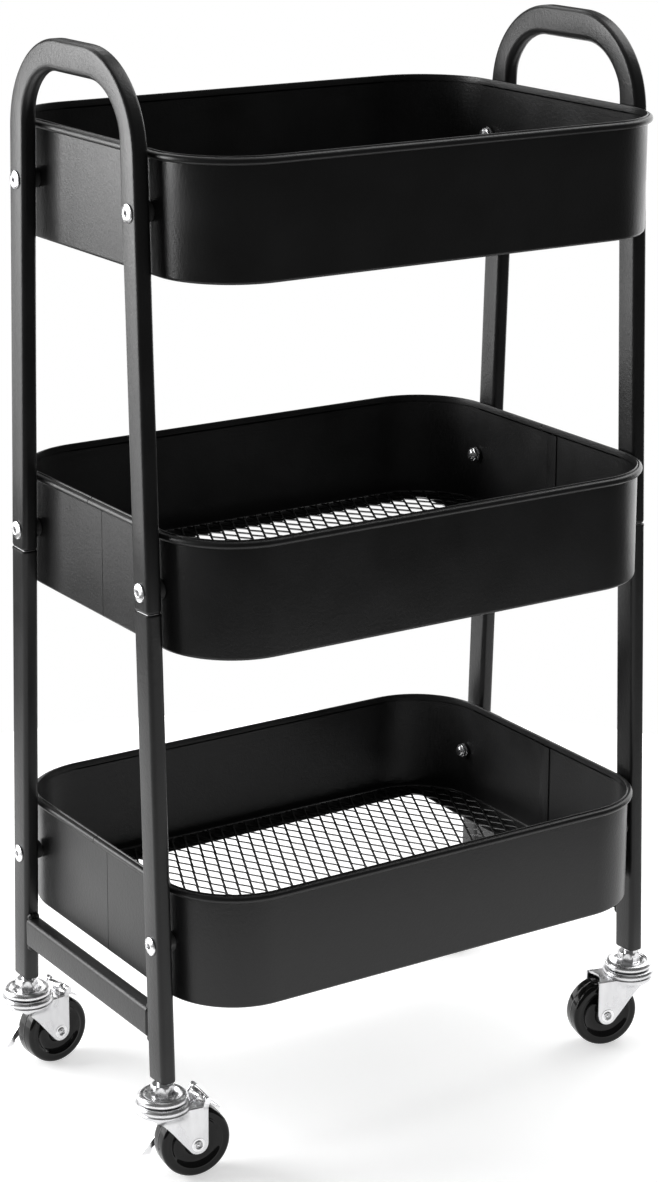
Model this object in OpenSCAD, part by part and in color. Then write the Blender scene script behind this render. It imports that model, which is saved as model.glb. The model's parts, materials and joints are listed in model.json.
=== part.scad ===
// Rolling pantry cart: two tube side frames, three mesh-floored trays and four
// swivel casters. Millimetres, Z up, X along the length, -Y is the open front,
// origin on the floor at the middle of the cart.

/* [Cart] */
// Height from the floor to the top of the handles
cart_h = 762; // [740:1:790]
// Length over the outer faces of the side frames
cart_l = 412; // [405:1:420]
// Height of the bottom ends of the legs
leg_end_z = 73; // [72:0.5:75]
// Height where the upper frame plugs into the lower legs
joint_z = 400; // [396:1:402]

/* [Frame tube] */
// Width of the tube, seen from the end of the cart
tube_w = 20; // [18:0.5:22]
// Depth of the tube, along the cart
tube_d = 11.5; // [11:0.5:12]
// Corner radius of the tube
tube_r = 3.5; // [2:0.5:4]
// Wall of the tube
tube_wall = 1; // [0.8:0.1:1.2]
// Half the spacing of the leg centres at joint height
leg_half = 87.2; // [84:0.1:88]
// Lean of each leg, degrees
lean = 2.13; // [1.5:0.01:2.5]
// Centre-line radius of the handle bends
bend_r = 50; // [40:1:54]
// Height of the centre of the low crossbars
bar_z = 110.5; // [108:0.5:114]
// Height of the low crossbars
bar_h = 22; // [20:0.5:24]

/* [Trays] */
// Length of a tray over its walls
tray_l = 380; // [376:1:381]
// Depth of a tray over its walls
tray_w = 282; // [280:1:292]
// Height of a tray from its underside to the top of its rim
tray_h = 82; // [70:1:84]
// Corner radius of a tray, over its walls
tray_r = 55; // [45:1:60]
// Thickness of the tray sheet
sheet = 1; // [0.8:0.1:1.2]
// Diameter of the rolled rim
bead_d = 6; // [5:0.5:6]
// Heights of the three rims, from the bottom tray to the top one
rim_zs = [210, 454, 702]; // [150:1:720]
// Depth below the rim of the fixing screws
screw_drop = 40.5; // [36:0.5:43]
// Width of the floor flange at the tray ends
flange_end = 31; // [26:1:34]
// Width of the floor flange along the tray sides
flange_side = 22; // [18:1:26]
// Place of the wall seam between the tray halves
seam_y = -7; // [-10:1:-4]
// How far the rim joint sits behind the wall seam
rim_step = 13.5; // [8:0.5:16]

/* [Mesh floor] */
// Short pitch of the diamonds, along the cart
mesh_x = 21.6; // [20:0.2:26]
// Long pitch of the diamonds, across the cart
mesh_y = 47; // [44:1:56]
// Width of a mesh strand
strand = 3.2; // [2.6:0.2:4]
// Thickness of the mesh sheet
mesh_t = 1.4; // [1:0.1:1.6]

/* [Casters] */
// Radius of a wheel
wheel_r = 25; // [24:0.5:25.5]
// Width of a wheel tread
wheel_w = 18; // [15:0.5:18]
// Distance of the wheel axle behind the stem
trail = 21; // [19:0.5:22]
// Radius of the stem
stem_r = 4; // [3.5:0.1:4]
// Directions in which the casters trail: front left, rear left, front right, rear right
yaws = [-8, 6, 166, 172]; // [-180:1:180]

/* [Hidden] */
$fn = 48;
fit = 0.08;                                  // radial clearance of running fits
snug = 0.05;                                 // clearance of fixed fits
k = tan(lean);
frame_x = cart_l / 2 - tube_d / 2;           // mid-plane of a side frame
leg_in_x = cart_l / 2 - tube_d;              // inner face of a side frame
top_z = cart_h - tube_w / 2;                 // centre line of the handle
bend_z = top_z - bend_r;
bend_y = half_at(bend_z) - bend_r / cos(lean);
tangent = [bend_y + bend_r * cos(lean), bend_z + bend_r * sin(lean)];
screw_zs = [for (z = rim_zs) z - screw_drop];
hx = tray_l / 2;
hy = tray_w / 2;
bead_r = bead_d / 2;
bead_out = 0.5;                              // rim centre line beyond the wall face
open_r = 12;                                 // corner radius of the floor opening
screw_r = 3;
head_r = 6.4;
head_h = 3;
dome_r = 9.2;                                // round of a screw head
socket_r = 2.3;                              // hex socket, to its corners
hole_r = 3.2;
nut_af = 10;                                 // cap nut across its flats
nut_h = 5;
nut_dome_r = 4.7;
nut_seat = hx - sheet - 2.2;                 // where a cap nut sits, inside the wall
wash_r = 6.5;                                // spacers and washers
mesh_l = tray_l - 2 * sheet - 10;            // mesh sheet, its corner and its solid rim
mesh_w = tray_w - 2 * sheet - 10;
mesh_r = tray_r - sheet - 5;
mesh_rim = 5;
bend_step = 0.02;                            // a bend is this much slimmer than the straight tube
hair = 0.01;                                 // overlap where runs of tube join
ferrule_low = 28;
ferrule_up = 8;
plug_h = 20;
plate_z = 51;                                // underside of a fork's top plate
plate_t = 2;
plate_front = 12.5;                          // how far a fork reaches ahead of its stem
plate_back = 28;                             // and behind it
ear_r = 2.9;                                 // lugs round the brake pivot
boss_r = 7.2;                                // cheek round the axle
cheek_path = [[-4.5, 44.4], [2.6, 36.4], [9.2, 28]];
race_r = 19;
race_bead = 2.1;
cap_z = 58.3;                                // underside of the stem cap
cap_r = 17.5;
cap_t = 1.8;
ball_r = 1.55;
ball_track = 11.5;
ball_z = 57.7;
ball_count = 12;
stem_nut_h = 9.5;
stem_nut_r = 7.5;                            // to its corners
ring_t = 0.8;                                // dust ring under a stem cap
ring_r = 15.6;
cheek_in = 10.3;
cheek_t = 1.7;
cheek_out = cheek_in + cheek_t;
axle_r = 3;
bush_r = 4.5;
axle_head = 1.7;
pin_r = 1.5;
pin_head = 0.9;
pin_head_r = 2.3;
hub_out = 0.8;                               // a wheel's hub beyond its tread
hub_wall = 3.2;
dish_in = 4.2;                               // recess in a wheel's side, from the bush
dish_w = 8.6;
dish_deep = 2.6;
tread_round = 3.5;
pivot = [27.9, 56.6];                        // brake pivot, behind the stem and up
loop_c = [24.2, 61.4];
loop_r = 5.2;
barrel_r = 2.7;
lever_t = 1.4;
lever_w = 19;
shoe_r = 27.35;                              // stops just short of the tread when pressed
arm_gap = 0.4;
BLACK = [0.07, 0.07, 0.075];
CHROME = [0.8, 0.81, 0.83];
ZINC = [0.72, 0.73, 0.75];
PLASTIC = [0.03, 0.03, 0.03];

// caster places: [x side, y side, yaw, has a brake]
CASTERS = [[-1, -1, yaws[0], true], [-1, 1, yaws[1], true],
           [1, -1, yaws[2], false], [1, 1, yaws[3], false]];
FL = 0;
RL = 1;
FR = 2;
RR = 3;

// distance of a leg's centre line from the middle of the cart at a height
function half_at(z) = leg_half - (z - joint_z) * k;

module rounded(l, w, r) {
    union() {
        square([l - 2 * r, w], center = true);
        square([l, w - 2 * r], center = true);
        for (x = [-1, 1], y = [-1, 1])
            translate([x * (l / 2 - r), y * (w / 2 - r)])
                circle(r);
    }
}

// ---- side frames: drawn in the plane of a frame, with the cart's X as local Z ----

module in_frame(side) {
    translate([side * frame_x, 0, 0])
        rotate([90, 0, 90])
            children();
}

module section(inset, width = tube_w) {
    rounded(tube_d - 2 * inset, width - 2 * inset, tube_r - inset);
}

// one straight run of tube between two points of the frame's plane, a hair long at each end
module run(a, b, inset = 0, width = tube_w) {
    d = b - a;
    translate([a[0], a[1], 0])
        rotate([0, 0, atan2(d[1], d[0])])
            rotate([0, 90, 0])
                translate([0, 0, -hair])
                    linear_extrude(norm(d) + 2 * hair)
                        section(inset, width);
}

module hoop_path(inset, extra) {
    foot = [half_at(joint_z - extra), joint_z - extra];
    for (m = [0, 1])
        mirror([m, 0, 0]) {
            run(foot, tangent, inset);
            translate([bend_y, bend_z, 0])
                rotate([0, 0, lean])
                    rotate_extrude(angle = 90 - lean)
                        translate([bend_r, 0])
                            rotate(90)
                                section(inset + bend_step);
        }
    run([-bend_y, top_z], [bend_y, top_z], inset);
}

module frame_hole(side, z, r = hole_r) {
    in_frame(side)
        for (m = [-1, 1])
            translate([m * half_at(z), z, -tube_d])
                cylinder(h = 2 * tube_d, r = r);
}

module hoop(side) {
    color(BLACK)
        difference() {
            in_frame(side)
                hoop_path(0, 0);
            in_frame(side)
                hoop_path(tube_wall, 5);
            frame_hole(side, screw_zs[1]);
            frame_hole(side, screw_zs[2]);
        }
}

module leg_run(side, end, top, bottom, inset = 0) {
    in_frame(side)
        run([end * half_at(bottom), bottom], [end * half_at(top), top], inset);
}

module lower_leg(side, end) {
    color(BLACK)
        difference() {
            leg_run(side, end, joint_z, leg_end_z);
            leg_run(side, end, joint_z + 5, leg_end_z - 5, tube_wall);
            frame_hole(side, screw_zs[0]);
        }
}

module crossbar(side) {
    reach = half_at(bar_z);
    color(BLACK)
        difference() {
            in_frame(side)
                run([-reach, bar_z], [reach, bar_z], 0, bar_h);
            in_frame(side)
                run([-reach - 1, bar_z], [reach + 1, bar_z], tube_wall, bar_h);
            for (end = [-1, 1])
                leg_run(side, end, bar_z + tube_w, bar_z - tube_w);
        }
}

module joint_ferrules() {
    color(ZINC)
        for (side = [-1, 1], end = [-1, 1])
            leg_run(side, end, joint_z + ferrule_up, joint_z - ferrule_low, tube_wall + snug);
}

module end_plugs() {
    color(PLASTIC)
        for (side = [-1, 1], end = [-1, 1])
            difference() {
                leg_run(side, end, leg_end_z + plug_h, leg_end_z, tube_wall + snug);
                translate([side * frame_x, end * half_at(leg_end_z), leg_end_z - 1])
                    cylinder(h = plug_h + 2, r = stem_r + snug);
            }
}

// ---- trays ----

// outline of a tray grown by a distance, and the prism it makes
module tray_outline(grow) {
    rounded(tray_l + 2 * grow, tray_w + 2 * grow, tray_r + grow);
}

module tray_prism(z, grow) {
    translate([0, 0, z])
        linear_extrude(tray_h)
            tray_outline(grow);
}

module rim_bead(z) {
    cx = hx - tray_r;
    cy = hy - tray_r;
    r = tray_r + bead_out;
    translate([0, 0, z]) {
        for (s = [-1, 1]) {
            translate([-cx, s * (cy + r), 0])
                rotate([0, 90, 0])
                    cylinder(h = 2 * cx, r = bead_r);
            translate([s * (cx + r), cy, 0])
                rotate([90, 0, 0])
                    cylinder(h = 2 * cy, r = bead_r);
        }
        for (q = [[1, 1, 0], [-1, 1, 90], [-1, -1, 180], [1, -1, 270]])
            translate([q[0] * cx, q[1] * cy, 0])
                rotate([0, 0, q[2]])
                    rotate_extrude(angle = 90)
                        translate([r, 0])
                            circle(bead_r, $fn = 32);
    }
}

module tray_holes(z) {
    for (side = [-1, 1], end = [-1, 1])
        translate([side * hx, end * half_at(z), z])
            rotate([0, 90, 0])
                cylinder(h = tray_r, r = hole_r, center = true);
}

// walls, floor flange and rolled rim of tray i, in one piece
module tray_walls(i) {
    foot = rim_zs[i] - tray_h;
    difference() {
        translate([0, 0, foot])
            linear_extrude(tray_h - bead_r)
                tray_outline(0);
        translate([0, 0, foot + sheet])
            linear_extrude(tray_h)
                tray_outline(-sheet);
        translate([0, 0, foot - 1])
            linear_extrude(sheet + 2)
                rounded(tray_l - 2 * flange_end, tray_w - 2 * flange_side, open_r);
        tray_holes(screw_zs[i]);
    }
}

module tray_shell(i) {
    color(BLACK)
        union() {
            tray_walls(i);
            rim_bead(rim_zs[i] - bead_r);
        }
}

// a block over everything on one side of a seam
module half_space(y, front, z, h) {
    translate([-tray_l, front ? y - tray_w : y, z])
        cube([2 * tray_l, tray_w, h]);
}

// one half of tray i: the rim of the front half reaches past the wall seam
module tray_half(i, front) {
    foot = rim_zs[i] - tray_h;
    gap = front ? -0.15 : 0.15;
    notch = tray_h - bead_d - 0.3;
    color(BLACK)
        union() {
            intersection() {
                tray_walls(i);
                union() {
                    half_space(seam_y + gap, front, foot - 1, notch + 1);
                    half_space(seam_y + gap + (front ? 0 : rim_step), front, foot + notch - 1,
                        tray_h);
                }
            }
            intersection() {
                rim_bead(rim_zs[i] - bead_r);
                half_space(seam_y + rim_step + gap, front, foot, tray_h + 1);
            }
        }
}

// ---- mesh floors: diamonds longer across the cart than along it ----

function arc_points(cx, cy, r, a0, n) = [for (i = [0:n]) [cx + r * cos(a0 + 90 * i / n),
    cy + r * sin(a0 + 90 * i / n)]];
function mesh_outline() = let (x = mesh_l / 2 - mesh_r, y = mesh_w / 2 - mesh_r, n = 6)
    concat(arc_points(x, y, mesh_r, 0, n), arc_points(-x, y, mesh_r, 90, n),
        arc_points(-x, -y, mesh_r, 180, n), arc_points(x, -y, mesh_r, 270, n));
// whether a point lies inside the mesh sheet with its rim taken off
function in_mesh(p) = let (x = abs(p[0]), y = abs(p[1]), cx = mesh_l / 2 - mesh_r,
    cy = mesh_w / 2 - mesh_r)
    x < mesh_l / 2 - mesh_rim && y < mesh_w / 2 - mesh_rim
    && (x < cx || y < cy || norm([x - cx, y - cy]) < mesh_r - mesh_rim);
// a diamond hole about a centre, with half a strand taken off all round
function diamond(c) = let (side = norm([mesh_x, mesh_y]) / 2,
    dx = mesh_x / 2 - strand * side / mesh_y, dy = mesh_y / 2 - strand * side / mesh_x)
    [c + [dx, 0], c + [0, dy], c - [dx, 0], c - [0, dy]];
function all_in(ps) = min([for (p = ps) in_mesh(p) ? 1 : 0]) == 1;

module mesh_floor(i) {
    nx = ceil(mesh_l / mesh_x);
    ny = ceil(mesh_w / mesh_y);
    holes = [for (u = [-nx:nx], v = [-ny:ny], s = [0, 1])
        let (d = diamond([(u + s / 2) * mesh_x, (v + s / 2) * mesh_y]))
            if (all_in(d)) d];
    outline = mesh_outline();
    n = len(outline);
    points = concat(outline, [for (d = holes, p = d) p]);
    paths = concat([[for (j = [0:n - 1]) j]],
        [for (h = [0:len(holes) - 1]) [for (j = [0:3]) n + 4 * h + j]]);
    color(BLACK)
        translate([0, 0, rim_zs[i] - tray_h + sheet])
            linear_extrude(mesh_t)
                polygon(points, paths);
}

// ---- fasteners, one of each at the four corners of tray i ----

// places children at each fixing, with +Z pointing out of the cart end
module at_screws(i) {
    for (side = [-1, 1], end = [-1, 1])
        translate([0, end * half_at(screw_zs[i]), screw_zs[i]])
            rotate([0, side * 90, 0])
                children();
}

module screws(i) {
    color(CHROME)
        at_screws(i)
            difference() {
                union() {
                    translate([0, 0, hx - 9])
                        cylinder(h = cart_l / 2 - hx + 10, r = screw_r);
                    translate([0, 0, cart_l / 2])
                        intersection() {
                            cylinder(h = head_h, r = head_r);
                            translate([0, 0, head_h - dome_r])
                                sphere(dome_r);
                        }
                }
                translate([0, 0, cart_l / 2 + 0.8])
                    cylinder(h = head_h, r = socket_r, $fn = 6);
            }
}

module cap_nuts(i) {
    color(CHROME)
        at_screws(i)
            difference() {
                translate([0, 0, nut_seat - nut_h])
                    union() {
                        cylinder(h = nut_h, r = nut_af / 2 / cos(30), $fn = 6);
                        intersection() {
                            sphere(nut_dome_r);
                            translate([0, 0, -5])
                                cylinder(h = 5.5, r = 5);
                        }
                    }
                translate([0, 0, nut_seat - 7.5])
                    cylinder(h = 9, r = screw_r + snug);
            }
}

// a spacer between leg and wall, and a shaped washer under the nut
module spacers(i) {
    z = rim_zs[i] - tray_h;
    color(PLASTIC) {
        difference() {
            at_screws(i)
                translate([0, 0, hx - 4])
                    cylinder(h = leg_in_x - hx + 4, r = wash_r);
            tray_prism(z, 0);
            screw_bores(i);
        }
        intersection() {
            difference() {
                at_screws(i)
                    translate([0, 0, nut_seat])
                        cylinder(h = 4, r = wash_r);
                screw_bores(i);
            }
            tray_prism(z, -sheet);
        }
    }
}

module screw_bores(i) {
    at_screws(i)
        translate([0, 0, hx - 20])
            cylinder(h = 60, r = hole_r);
}

// ---- casters: drawn about the stem, with the wheel trailing along +X ----

module at_caster(i) {
    c = CASTERS[i];
    translate([c[0] * frame_x, c[1] * half_at(leg_end_z), 0])
        rotate([0, 0, c[2]])
            children();
}

module at_casters() {
    for (i = [FL:RR])
        at_caster(i)
            children();
}

// places children with +Z along the wheel's axle
module on_axle() {
    translate([trail, 0, wheel_r])
        rotate([90, 0, 0])
            children();
}

module stems() {
    color(CHROME)
        at_casters() {
            translate([0, 0, plate_z - 0.8])
                cylinder(h = leg_end_z + plug_h - 2 - plate_z + 0.8, r = stem_r);
            translate([0, 0, plate_z - 3.2])
                cylinder(h = 2.8, r1 = 5, r2 = 6.2);
        }
}

module stem_nuts() {
    low = cap_z + cap_t;
    color(CHROME)
        at_casters()
            difference() {
                translate([0, 0, low])
                    cylinder(h = stem_nut_h, r = stem_nut_r, $fn = 6);
                translate([0, 0, low - 1])
                    cylinder(h = stem_nut_h + 2, r = stem_r + snug);
            }
}

module caps() {
    color(CHROME)
        at_casters()
            rotate_extrude()
                difference() {
                    union() {
                        translate([stem_r + snug, cap_z])
                            square([cap_r - race_bead - stem_r - snug, cap_t]);
                        translate([cap_r - race_bead, cap_z + race_bead])
                            circle(race_bead, $fn = 32);
                    }
                    translate([ball_track, ball_z])
                        circle(ball_r + fit, $fn = 32);
                }
}

module dust_rings() {
    color(PLASTIC)
        at_casters()
            translate([0, 0, cap_z - ring_t])
                difference() {
                    cylinder(h = ring_t, r = ring_r);
                    translate([0, 0, -1])
                        cylinder(h = 3, r = 14);
                }
}

module balls() {
    color(CHROME)
        at_casters()
            for (a = [0:ball_count - 1])
                rotate([0, 0, a * 360 / ball_count])
                    translate([ball_track, 0, ball_z])
                        sphere(ball_r, $fn = 24);
}

// outline of a fork cheek: a tapering plate from the top plate down to the axle
module cheek_outline(brake) {
    difference() {
        union() {
            translate([trail, wheel_r])
                circle(boss_r);
            polygon(concat([[-plate_front, plate_z + plate_t], [-plate_front, plate_z - 1]],
                cheek_path, [[trail - 5.6, wheel_r - 4.5], [trail + boss_r, wheel_r],
                [plate_back, plate_z + plate_t]]));
            if (brake)
                translate(pivot)
                    circle(ear_r);
            if (brake)
                polygon([[plate_back - 3, plate_z], [plate_back, plate_z],
                    pivot + [ear_r, 0], pivot - [ear_r, 0]]);
        }
        translate([trail, wheel_r])
            circle(axle_r + snug);
        if (brake)
            translate(pivot)
                circle(pin_r + snug);
    }
}

module fork(i) {
    brake = CASTERS[i][3];
    tongue = brake ? plate_back - 0.8 : plate_back;
    color(ZINC)
        at_caster(i)
            difference() {
                union() {
                    for (v = [-cheek_out, cheek_in])
                        translate([0, v + cheek_t, 0])
                            rotate([90, 0, 0])
                                linear_extrude(cheek_t)
                                    cheek_outline(brake);
                    translate([-plate_front, -cheek_out, plate_z])
                        cube([plate_front + tongue, 2 * cheek_out, plate_t]);
                    rotate_extrude() {
                        translate([0, plate_z])
                            square([race_r - race_bead, 6.2]);
                        translate([race_r - race_bead, plate_z + plate_t + race_bead])
                            circle(race_bead, $fn = 32);
                    }
                }
                translate([0, 0, plate_z - 5])
                    cylinder(h = 20, r = stem_r + fit);
                rotate_extrude()
                    translate([ball_track, ball_z])
                        circle(ball_r + 0.15, $fn = 32);
            }
}

module axle(i) {
    color(CHROME)
        at_caster(i)
            on_axle() {
                cylinder(h = 2 * cheek_out, r = axle_r, center = true);
                for (s = [0, 1])
                    mirror([0, 0, s])
                        translate([0, 0, cheek_out])
                            difference() {
                                cylinder(h = axle_head, r1 = 4.6, r2 = 3.8);
                                translate([0, 0, axle_head - 0.7])
                                    cylinder(h = 2, r = 1.7);
                            }
            }
}

module axle_bush(i) {
    color(ZINC)
        at_caster(i)
            on_axle()
                difference() {
                    cylinder(h = 2 * cheek_in, r = bush_r, center = true);
                    cylinder(h = 3 * cheek_in, r = axle_r + snug, center = true);
                }
}

module wheel(i) {
    half = wheel_w / 2;
    bore = bush_r + fit;
    color(PLASTIC)
        at_caster(i)
            on_axle()
                rotate_extrude()
                    difference() {
                        union() {
                            translate([bore, -half + 0.5])
                                square([wheel_r - bore - tread_round, wheel_w - 1]);
                            translate([bore, -half + tread_round])
                                square([wheel_r - bore, wheel_w - 2 * tread_round]);
                            translate([bore, -half - hub_out])
                                square([hub_wall, wheel_w + 2 * hub_out]);
                            for (s = [-1, 1])
                                translate([wheel_r - tread_round, s * (half - tread_round)])
                                    circle(tread_round, $fn = 32);
                        }
                        for (s = [0, 1])
                            mirror([0, s])
                                translate([bush_r + dish_in, half - dish_deep])
                                    square([dish_w, dish_deep + 1]);
                    }
}

// profile of the brake lever between the fork's ears: a toe loop, a barrel and a shoe
module lever_profile() {
    difference() {
        union() {
            translate(loop_c)
                circle(loop_r);
            translate([loop_c[0] - loop_r, 58.2])
                square([2 * loop_r, loop_c[1] - 58.2]);
            translate([loop_c[0] + loop_r - lever_t, pivot[1]])
                square([lever_t, 5]);
            polygon([pivot + [0.6, 1], pivot + [2.6, 0.6], [31.4, 50.9], [29.7, 51.4]]);
            shoe();
        }
        translate(loop_c)
            circle(loop_r - lever_t);
        translate([loop_c[0] - loop_r + lever_t, pivot[1] - 3])
            square([2 * (loop_r - lever_t), loop_c[1] - pivot[1] + 3]);
        translate(pivot)
            circle(pin_r + fit);
    }
    translate(pivot)
        difference() {
            circle(barrel_r);
            circle(pin_r + fit);
        }
}

module shoe() {
    intersection() {
        translate([trail, wheel_r])
            difference() {
                circle(shoe_r + lever_t, $fn = 96);
                circle(shoe_r, $fn = 96);
            }
        translate([29.4, 40])
            square([8.6, 14]);
    }
}

// profile of the release arm outside the fork's far cheek
module arm_profile() {
    difference() {
        union() {
            translate(pivot)
                circle(barrel_r);
            polygon([pivot + [-2.6, 0.5], [3.5, 22.5], [-7, 12.6], [-5.5, 19.5], [1.5, 25.5],
                pivot + [-2.6, 5.8], pivot + [0.4, 6], pivot + [2.6, 0.5]]);
        }
        translate(pivot)
            circle(pin_r + fit);
    }
}

module brake_lever(i) {
    arm_in = cheek_out + arm_gap;
    color(CHROME)
        at_caster(i)
            union() {
                translate([0, lever_w / 2, 0])
                    rotate([90, 0, 0])
                        linear_extrude(lever_w)
                            lever_profile();
                translate([0, arm_in + lever_t, 0])
                    rotate([90, 0, 0])
                        linear_extrude(lever_t)
                            arm_profile();
                translate([pivot[0] - 1.6, lever_w / 2 - 1, pivot[1] + 3.8])
                    cube([3, arm_in + 1 - lever_w / 2 + lever_t, 2]);
            }
}

module brake_pin(i) {
    reach = cheek_out + arm_gap + lever_t + 0.15;
    color(CHROME)
        at_caster(i)
            translate([pivot[0], 0, pivot[1]])
                rotate([90, 0, 0]) {
                    translate([0, 0, -reach])
                        cylinder(h = reach + cheek_out, r = pin_r);
                    translate([0, 0, cheek_out])
                        cylinder(h = pin_head, r = pin_head_r);
                    translate([0, 0, -reach - pin_head])
                        cylinder(h = pin_head, r = pin_head_r);
                }
}

hoop(-1);  // left_hoop
hoop(1);  // right_hoop
lower_leg(-1, -1);  // front_left_leg
lower_leg(-1, 1);  // rear_left_leg
lower_leg(1, -1);  // front_right_leg
lower_leg(1, 1);  // rear_right_leg
crossbar(-1);  // left_crossbar
crossbar(1);  // right_crossbar
joint_ferrules();  // leg_joint_ferrules
end_plugs();  // leg_end_plugs
tray_shell(2);  // top_tray_shell
tray_half(1, true);  // middle_tray_front
tray_half(1, false);  // middle_tray_rear
tray_half(0, true);  // bottom_tray_front
tray_half(0, false);  // bottom_tray_rear
mesh_floor(2);  // top_tray_mesh
mesh_floor(1);  // middle_tray_mesh
mesh_floor(0);  // bottom_tray_mesh
screws(2);  // top_tray_screws
screws(1);  // middle_tray_screws
screws(0);  // bottom_tray_screws
cap_nuts(2);  // top_tray_cap_nuts
cap_nuts(1);  // middle_tray_cap_nuts
cap_nuts(0);  // bottom_tray_cap_nuts
spacers(2);  // top_tray_spacers
spacers(1);  // middle_tray_spacers
spacers(0);  // bottom_tray_spacers
stems();  // caster_stems
stem_nuts();  // caster_stem_nuts
caps();  // caster_caps
dust_rings();  // caster_dust_rings
balls();  // swivel_bearing_balls
fork(FL);  // front_left_fork
fork(RL);  // rear_left_fork
fork(FR);  // front_right_fork
fork(RR);  // rear_right_fork
axle(FL);  // front_left_axle
axle(RL);  // rear_left_axle
axle(FR);  // front_right_axle
axle(RR);  // rear_right_axle
axle_bush(FL);  // front_left_axle_bush
axle_bush(RL);  // rear_left_axle_bush
axle_bush(FR);  // front_right_axle_bush
axle_bush(RR);  // rear_right_axle_bush
wheel(FL);  // front_left_wheel
wheel(RL);  // rear_left_wheel
wheel(FR);  // front_right_wheel
wheel(RR);  // rear_right_wheel
brake_lever(FL);  // front_left_brake_lever
brake_lever(RL);  // rear_left_brake_lever
brake_pin(FL);  // front_left_brake_pin
brake_pin(RL);  // rear_left_brake_pin
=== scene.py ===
import json
import math
import random

import bmesh
import bpy
from mathutils import Matrix, Vector


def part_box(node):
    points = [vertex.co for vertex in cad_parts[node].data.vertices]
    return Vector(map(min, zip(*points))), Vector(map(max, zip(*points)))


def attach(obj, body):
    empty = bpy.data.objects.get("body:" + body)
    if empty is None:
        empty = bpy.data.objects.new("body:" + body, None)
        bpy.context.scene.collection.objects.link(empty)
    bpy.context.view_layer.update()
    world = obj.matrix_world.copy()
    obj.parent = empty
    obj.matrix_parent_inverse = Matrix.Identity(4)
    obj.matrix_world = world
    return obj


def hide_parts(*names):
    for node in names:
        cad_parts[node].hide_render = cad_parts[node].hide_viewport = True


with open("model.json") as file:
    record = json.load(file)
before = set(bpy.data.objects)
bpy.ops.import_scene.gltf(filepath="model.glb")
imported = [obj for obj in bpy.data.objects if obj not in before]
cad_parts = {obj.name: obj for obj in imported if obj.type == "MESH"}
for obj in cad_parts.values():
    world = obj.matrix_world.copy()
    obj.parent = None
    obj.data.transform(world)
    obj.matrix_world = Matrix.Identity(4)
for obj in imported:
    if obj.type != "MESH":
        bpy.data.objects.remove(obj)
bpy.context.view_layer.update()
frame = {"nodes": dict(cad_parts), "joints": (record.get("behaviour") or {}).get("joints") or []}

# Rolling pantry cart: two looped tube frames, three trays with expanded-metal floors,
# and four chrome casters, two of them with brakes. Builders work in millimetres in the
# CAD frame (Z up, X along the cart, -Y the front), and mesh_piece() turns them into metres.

MM = 0.001


def box_mm(node):
    """Lowest and highest corner of a CAD node, in millimetres."""
    low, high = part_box(node)
    return low / MM, high / MM


# ---- dimensions, in millimetres and degrees ----

JOINTS = {joint["name"]: joint for joint in frame["joints"]}
FRAME_X = sum(corner.x for corner in box_mm("right_hoop")) / 2
FRAME_OUT = box_mm("right_hoop")[1].x
TOP_Z = box_mm("right_hoop")[1].z
JOINT_Z = box_mm("right_hoop")[0].z
LEG_END_Z = box_mm("front_left_leg")[0].z
BAR_LOW, BAR_HIGH = (corner.z for corner in box_mm("left_crossbar"))
TUBE_W = 20.0
TUBE_D = 11.5
TUBE_R = 3.5
LEAN = math.radians(2.13)
LEG_HALF = 87.2

HOOP_OUT_R = 68.0       # outer round of the handle
HOOP_IN_R = 42.0        # round of the hand opening
HOOP_BAR = 22.0         # height of the tube at the top of the handle
HOOP_EDGE_R = 3.0       # corners of the bent tube on the outside of the handle
HOOP_GRIP_R = 5.6       # and inside, where the fingers go

SHEET = 1.0             # thickness of the trays' sheet metal
TRAYS = {name: box_mm(name + "_tray_mesh")[0].z - SHEET for name in ("top", "middle", "bottom")}
TRAY_H = box_mm("top_tray_shell")[1].z - box_mm("top_tray_shell")[0].z
TRAY_L = 380.0
TRAY_W = 282.0
TRAY_R = 55.0
FOOT_BEND = 2.5
FLANGE_END = 31.0       # width of the floor flange at the tray's ends
FLANGE_SIDE = 22.0      # and along its sides
OPENING_R = 12.0
FLOOR_LIFT = 3.5        # the floor flange lies this far above the hemmed foot of the wall
RIM_DEEP = 5.6
RIM_BEAD_OUT = 0.95     # centre of the rolled bead, beyond the wall
RIM_BEAD_DROP = 3.35    # and below the tray's top
SEAM_Y = -7.0
SEAM_GAP = 0.5
RIM_JOINT_Y = 6.5
RIM_JOINT_GAP = 0.7
MESH_MARGIN = 5.0       # from the wall's inner face to the mesh's cut edge

DIAMOND_X = 10.8        # short pitch of the expanded metal, along the cart
DIAMOND_Y = 23.5        # long pitch, across it
STRAND_W = 2.05
STRAND_T = 0.9
STRAND_TILT = math.radians(33)      # how far stretching the slit sheet tips its strands

SCREW_HEAD_R = 6.4
SHANK_R = 3.0
NUT_ACROSS = 9.6        # cap nut, across its flats
NUT_WASHER = 2.2        # shaped washer between a cap nut and the wall

CAP_Z = box_mm("caster_caps")[0].z
NUT_LOW, NUT_HIGH = (corner.z for corner in box_mm("caster_stem_nuts"))
CROWN_R = 19.0          # ball race on top of a fork
CROWN_Z = 57.2
CROWN_ROLL_R = 2.6
PLATE_Z = 53.0          # top of a fork's plate
PLATE_T = 1.8
SKIRT_U = -12.5         # where the cheeks begin, and the height of the skirt's lower edge there
SKIRT_LOW = 50.0
CHEEK_V = 12.0          # outer face of a fork cheek
CHEEK_T = 1.7
TRAIL = 21.0
AXLE_Z = 25.0
WHEEL_R = 25.0
WHEEL_W = 18.0
BOSS_R = 7.2
LEVER_W = 19.0          # brake lever's barrel
TOE_W = 13.0
SHOE_W = 16.0
SHOE_R = 27.5           # under the shoe when the brake is free, about the axle
ARM_GAP = 0.4           # between a cheek and the release arm
ARM_T = 1.4
CORNERS = ("front_left", "rear_left", "front_right", "rear_right")
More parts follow.
